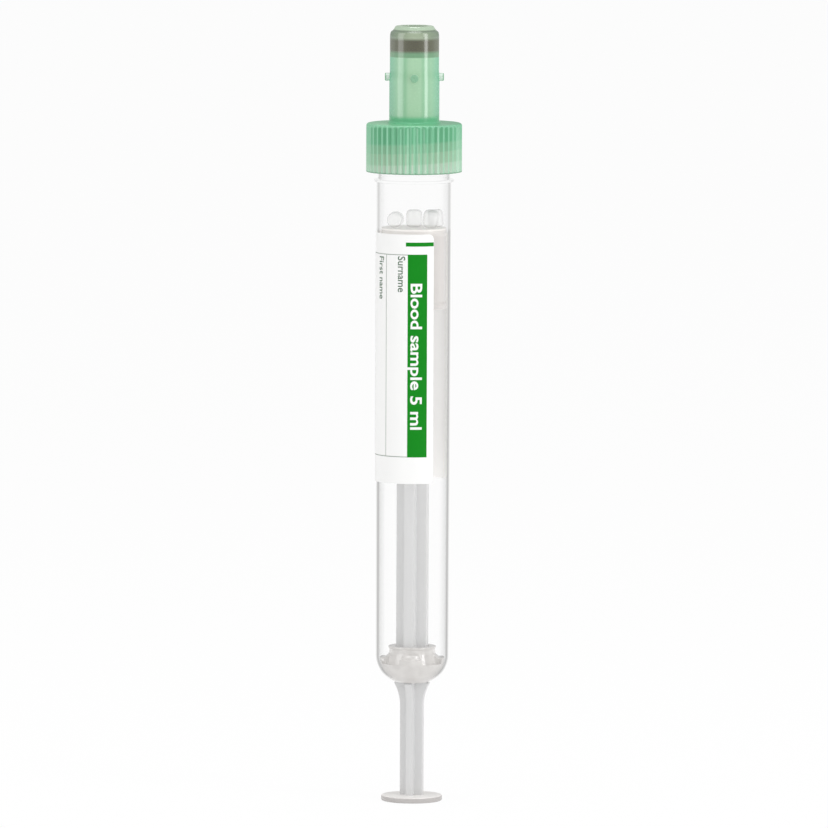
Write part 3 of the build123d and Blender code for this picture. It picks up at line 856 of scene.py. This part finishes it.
# Painted light: the top face is paler than the edge and glows a little.
on_top = step_node(DISC_WHITE, height_of(DISC_WHITE), DISC_THICK - 0.18, DISC_THICK - 0.02)
glow(disc_shader, 0.04)
wire(
    DISC_WHITE,
    (over(DISC_WHITE, on_top, srgb(194, 190, 188), srgb(246, 243, 240)), disc_group.inputs["Colour"]),
    (over(DISC_WHITE, on_top, BLACK, (1, 0.98, 0.96, 1)), disc_shader.inputs["Emission Color"]),
)
dress(disc, "plunger", "plunger_rod", DISC_WHITE)

STEM_R, HEAD_R, head_foot = 1.0, 1.5, HUB_FOOT + 1.24
head_corners = [
    (0, PISTON_TOP - 6.0), (STEM_R, PISTON_TOP - 6.0), (STEM_R, head_foot), (HEAD_R, head_foot),
    (HEAD_R, head_foot + 0.9), (STEM_R, ROD_TOP), (0, ROD_TOP),
]
head_line = soften(head_corners, [0, 0.05, 0.1, 0.12, 0.25, 0.2, 0], closed=False)
head = skin("rod_head", turned(head_line, 64))
dress(head, "plunger", "plunger_rod", ROD_WHITE)

# %% [markdown]
# The label is a thin film wrapped round most of the tube. A sheet is a strip of angle and a
# strip of height, and near its four corners the strip of angle draws in along a quarter circle.
# Each level is one closed line, out along the front face and back along the other. The inner
# side of the label lies behind many clear layers, so it is given a glow: painted light in place
# of the light that comes through.

# %% Paper finish
def paper(name, colour, roughness=0.55):
    """Coated paper with a slight tooth, thin enough to let most of the light through."""
    material, _, _ = plastic(name, colour, roughness, 0.03, 0.05)
    lets_light(material, 0.85)
    return material


LABEL_WHITE = paper("label film", srgb(251, 251, 250), 0.42)
LABEL_UNDERSIDE = paper("label underside", srgb(228, 226, 222), 0.6)
# Painted light: the underside glows.
glow(shader_of(LABEL_UNDERSIDE), 0.57, (1.0, 0.99, 0.98, 1.0))

# %% Label sheet
LABEL_IN, LABEL_OUT = 6.1, 6.13
LABEL_START, LABEL_SWEEP, LABEL_CORNER = 24.5, 277.5, 0.9


def sheet(name, start, sweep, low, high, r_in, r_out, corner=0.0, across=96, up=3, soft_end=9):
    """A bent sheet from angle start over sweep (degrees), between two levels and two radii."""
    rise = np.linspace(low, high, up)
    if corner:
        arc = corner * (1 - np.cos(np.linspace(0, pi / 2, soft_end)))
        straight = np.linspace(low + corner, high - corner, up)[1:-1]
        rise = np.concatenate([low + arc, straight, high - arc[::-1]])
    near = np.minimum(rise - low, high - rise)
    drawn_in = corner - np.sqrt(np.clip(corner**2 - np.clip(corner - near, 0, None) ** 2, 0, None))
    drawn_in = np.degrees(drawn_in / r_out)[:, None]
    share = np.linspace(0, 1, across)[None, :]
    turn = np.radians(start + drawn_in + share * (sweep - 2 * drawn_in))
    turn = np.concatenate([turn, turn[:, ::-1]], axis=1)
    r = np.concatenate([np.full(across, r_out), np.full(across, r_in)])[None, :] + 0 * turn
    z = rise[:, None] + 0 * turn
    grid = np.stack([r * np.cos(turn), r * np.sin(turn), z], axis=-1)
    closed = grid.copy()
    closed[..., :2] *= ((r_in + r_out) / 2 / r)[..., None]
    return skin(name, np.concatenate([closed[:1], grid, closed[-1:]]), sharp=30)


label = sheet(
    "label_film", LABEL_START, LABEL_SWEEP, LABEL_FOOT, LABEL_TOP, LABEL_IN, LABEL_OUT,
    corner=LABEL_CORNER, across=200,
)
dress(label, "tube_body", "label", LABEL_WHITE)
label.data.materials.append(LABEL_UNDERSIDE)
mark_inside(label)

# %% [markdown]
# The print is generic: a green stripe, a short bar, thin field lines and a few plain words. It
# lies on the film as a layer of ink, as sheets of a hundredth of a millimetre.

# %% Printed stripe, bar and lines
INK_GREEN = paper("green ink", srgb(6, 136, 22), 0.6)
shader_of(INK_GREEN).inputs["Specular IOR Level"].default_value = 0.2
INK_GREY = paper("grey ink", srgb(150, 160, 150), 0.5)
INK_DARK = paper("dark ink", srgb(92, 116, 96), 0.5)
INK_WHITE = paper("white ink", srgb(250, 251, 250), 0.45)
INK_LOW, INK_HIGH = LABEL_OUT - 0.004, LABEL_OUT + 0.008
FRONT = -90.0


def inked(name, left, right, low, high, ink):
    """A printed patch: degrees from the front (left is negative), mm above the tube's base."""
    patch = sheet(
        name, FRONT + left, right - left, BASE + low, BASE + high, INK_LOW, INK_HIGH,
        across=max(4, int(abs(right - left) / 2) + 2), up=2,
    )
    dress(patch, "tube_body", "label", ink)


PRINT_LOW, PRINT_HIGH, PRINT_LEFT, STRIPE_LEFT, LINE = 37.4, 70.2, -150.0, -8.9, 0.13
inked("print_stripe", STRIPE_LEFT, 21.0, PRINT_LOW, PRINT_HIGH, INK_GREEN)
inked("print_bar", -11.9, 31.6, 71.5, 72.15, INK_GREEN)
inked("print_line_top", PRINT_LEFT, STRIPE_LEFT, PRINT_HIGH - LINE, PRINT_HIGH, INK_GREY)
inked("print_line_foot", PRINT_LEFT, STRIPE_LEFT, PRINT_LOW, PRINT_LOW + LINE, INK_GREY)
for count, angle in enumerate((-45.6, -90.0, PRINT_LEFT), 1):
    inked(f"print_line_{count}", angle - 0.5, angle + 0.5, PRINT_LOW, PRINT_HIGH, INK_GREY)

# %% [markdown]
# Words are Blender text, made a mesh, cut into narrow strips and then bent round the label: a
# letter's height becomes an angle, and the line of text runs down the tube.

# %% Printed words
INK_THICK = 0.006


def words(name, text, size, angle, top, length, ink, lift=0.0, bold=0.025):
    """Text that reads downwards over that length from `top` mm above the base, its foot at `angle`."""
    curve = bpy.data.curves.new(name, "FONT")
    curve.body, curve.size, curve.offset, curve.extrude = text, size, bold, INK_THICK
    curve.resolution_u = 3
    holder = bpy.data.objects.new(name + "_line", curve)
    mesh = bpy.data.meshes.new_from_object(holder)
    bpy.data.objects.remove(holder)
    work = bmesh.new()
    work.from_mesh(mesh)
    for cut in np.arange(-0.3, 1.0, 0.08) * size:
        everything = work.verts[:] + work.edges[:] + work.faces[:]
        bmesh.ops.bisect_plane(work, geom=everything, plane_co=(0, cut, 0), plane_no=(0, 1, 0))
    work.to_mesh(mesh)
    work.free()
    place = np.zeros(len(mesh.vertices) * 3)
    mesh.vertices.foreach_get("co", place)
    along, up, out = place.reshape(-1, 3).T
    along = (along - along.min()) * length / np.ptp(along)
    r = LABEL_OUT + INK_THICK + lift + out
    turn = radians(FRONT + angle) + up / LABEL_OUT
    bent = np.stack([r * np.cos(turn), r * np.sin(turn), BASE + top - along], axis=-1) * MM
    mesh.vertices.foreach_set("co", bent.ravel())
    mesh.materials.clear()
    piece = finished(name, mesh, 30)
    dress(piece, "tube_body", "label", ink)


words("print_words_stripe", "Blood sample 5 ml", 2.6, -3.9, 65.5, 23.6, INK_WHITE, 0.008, 0.05)
words("print_words_name", "Surname", 1.75, -24.2, 69.9, 5.8, INK_DARK)
words("print_words_first", "First name", 1.75, -62.8, 69.7, 6.9, INK_DARK)
words("print_words_date", "Date of birth", 1.75, -108.0, 69.7, 8.2, INK_DARK)

# %% [markdown]
# The beads that carry the anticoagulant are small pressed pellets, clear to milky. Each is a
# rounded cylinder, a superellipse turned about its axis, with a few slow bumps of its own.

# %% Beads
BEAD_FINISH, _, _ = clear_plastic("bead plastic", srgb(240, 240, 239), srgb(218, 218, 217), 0.42, 0.5, 0.4)
lets_light(BEAD_FINISH, 0.7)
BEAD_R, BEAD_L = 1.31, 2.9
# Right of the axis and behind it in millimetres, then the lean and its way in degrees.
bead_places = [
    (-3.0, 0.2, 90.0, 80.0),
    (0.05, 1.3, 0.0, 0.0),
    (2.75, -1.3, 14.0, 300.0),
    (3.52, 1.4, 5.0, 180.0),
]


def squared(value):
    """sign(v) |v|^(1/2), which makes a circle's cosine and sine into a superellipse's."""
    return np.sign(value) * np.abs(value) ** 0.5


def pellet(right, behind, lean, turn, seed):
    """|r|^4 + |z|^4 = 1 in its own frame, tipped by lean towards turn and set on the piston."""
    up = np.linspace(-pi / 2, pi / 2, 29)[:, None]
    round_it = np.arange(56)[None, :] * 2 * pi / 56
    wobble = 1 + 0.025 * np.sin(2 * round_it + seed) * np.cos(up) + 0.02 * np.sin(3 * up + 2 * seed)
    r, z = BEAD_R * squared(np.cos(up)) * wobble, BEAD_L / 2 * squared(np.sin(up))
    own = np.stack([r * np.cos(round_it), r * np.sin(round_it), z + 0 * round_it], -1)
    tip, heading = radians(lean), radians(turn)
    about_y = np.array([[cos(tip), 0, sin(tip)], [0, 1, 0], [-sin(tip), 0, cos(tip)]])
    about_z = np.array([[cos(heading), -sin(heading), 0], [sin(heading), cos(heading), 0], [0, 0, 1]])
    placed = own @ (about_z @ about_y).T
    placed += np.array([right, behind, PISTON_TOP - 0.1 - placed[..., 2].min()])
    return placed


for count, place in enumerate(bead_places):
    bead = skin(f"bead_{count + 1}", pellet(*place, seed=1.7 * count), sharp=80)
    dress(bead, "plunger", "beads", BEAD_FINISH)

# %% [markdown]
# A white floor and a white surround. A lit white backdrop would fall off towards its corners.
# So the camera, and glass, see plain white, while the rays that light the tube find a weaker
# world. The floor keeps a share of its own shading, and with it the tube's shadow.

# %% Floor
FAR, FLOOR_GLOWS = 6.0, 0.94
floor_mesh = bpy.data.meshes.new("floor")
floor_corners = [(-FAR, -FAR, 0), (FAR, -FAR, 0), (FAR, FAR, 0), (-FAR, FAR, 0)]
floor_mesh.from_pydata(floor_corners, [], [(0, 1, 2, 3)])
floor = bpy.data.objects.new("floor", floor_mesh)
bpy.context.scene.collection.objects.link(floor)
FLOOR_WHITE = bpy.data.materials.new("floor white")
FLOOR_WHITE.use_nodes = True
floor_shader = shader_of(FLOOR_WHITE)
floor_shader.inputs["Base Color"].default_value = (0.97, 0.97, 0.97, 1)
floor_shader.inputs["Roughness"].default_value = 0.9
floor_shader.inputs["Specular IOR Level"].default_value = 0.0
seen = rays(FLOOR_WHITE, "Is Camera Ray", "Is Transmission Ray", "Is Glossy Ray")
seen = number_node(FLOOR_WHITE, "MULTIPLY", seen, FLOOR_GLOWS)
show(FLOOR_WHITE, seen, floor_shader.outputs["BSDF"], node(FLOOR_WHITE, "Emission").outputs["Emission"])
floor_mesh.materials.append(FLOOR_WHITE)
print("floor", 2 * FAR, "m wide")

# %% World
LIGHT_OF_WORLD = 0.58
world = bpy.data.worlds.new("white surround")
bpy.context.scene.world = world
world.use_nodes = True
sky = world.node_tree.nodes["Background"]
sky.inputs["Color"].default_value = (1, 1, 1, 1)
seen = rays(world, "Is Camera Ray", "Is Transmission Ray")
strength = number_node(world, "MULTIPLY_ADD", seen, 1.0 - LIGHT_OF_WORLD, LIGHT_OF_WORLD)
wire(world, (strength, sky.inputs["Strength"]))
print("world lights with", LIGHT_OF_WORLD)

# %% [markdown]
# Four soft boxes give the gloss its bright strips: two tall ones at the sides, one in front,
# which only lights and isn't mirrored, and one overhead.

# %% Soft boxes
AIM = Vector((0, 0, 0.07))


def soft_box(name, azimuth, distance, width, height, centre_z, watts):
    """A rectangle of light at that azimuth (0 is in front), facing the tube."""
    lamp = bpy.data.lights.new(name, "AREA")
    lamp.shape, lamp.size, lamp.size_y, lamp.energy = "RECTANGLE", width, height, watts
    holder = bpy.data.objects.new(name, lamp)
    a = radians(azimuth)
    spot = Vector((sin(a) * distance, -cos(a) * distance, centre_z))
    holder.location = spot
    holder.rotation_mode = "QUATERNION"
    holder.rotation_quaternion = (spot - AIM).to_track_quat("Z", "Y")
    bpy.context.scene.collection.objects.link(holder)
    print(name, watts, "W")
    return holder


soft_box("left box", -68, 0.6, 0.34, 0.7, 0.25, 1.0)
soft_box("right box", 56, 0.6, 0.18, 0.7, 0.25, 1.15)
front = soft_box("front box", 42, 0.8, 0.4, 0.6, 0.2, 0.8)
front.visible_glossy = False
soft_box("top box", 0, 0.05, 0.3, 0.3, 0.6, 1.0)

# %% [markdown]
# The camera stands far off with a long lens, so the tube hardly narrows towards its ends. It
# looks down a little, so the thumb disc shows its top.

# %% Camera
camera = bpy.data.cameras.new("camera")
eye = bpy.data.objects.new("camera", camera)
bpy.context.scene.collection.objects.link(eye)
bpy.context.scene.camera = eye
SENSOR, FIELD, DISTANCE = 36.0, radians(4.1), 1.87
LOOK_DOWN, ROLL, ASIDE = radians(5.45), radians(0.23), 0.15
camera.sensor_width = SENSOR
camera.lens = SENSOR / (2 * tan(FIELD / 2))
target = Vector((ASIDE * MM, 0.0, (NOZZLE_TOP / 2) * MM))
eye.location = target + Vector((0, -cos(LOOK_DOWN), sin(LOOK_DOWN))) * DISTANCE
eye.rotation_mode = "QUATERNION"
eye.rotation_quaternion = (eye.location - target).to_track_quat("Z", "Y") @ Quaternion((0, 0, 1), ROLL)
camera.clip_start, camera.clip_end = 0.05, 40.0
bpy.context.scene.view_settings.view_transform = "Standard"
print("lens", round(camera.lens), "mm from", DISTANCE, "m")
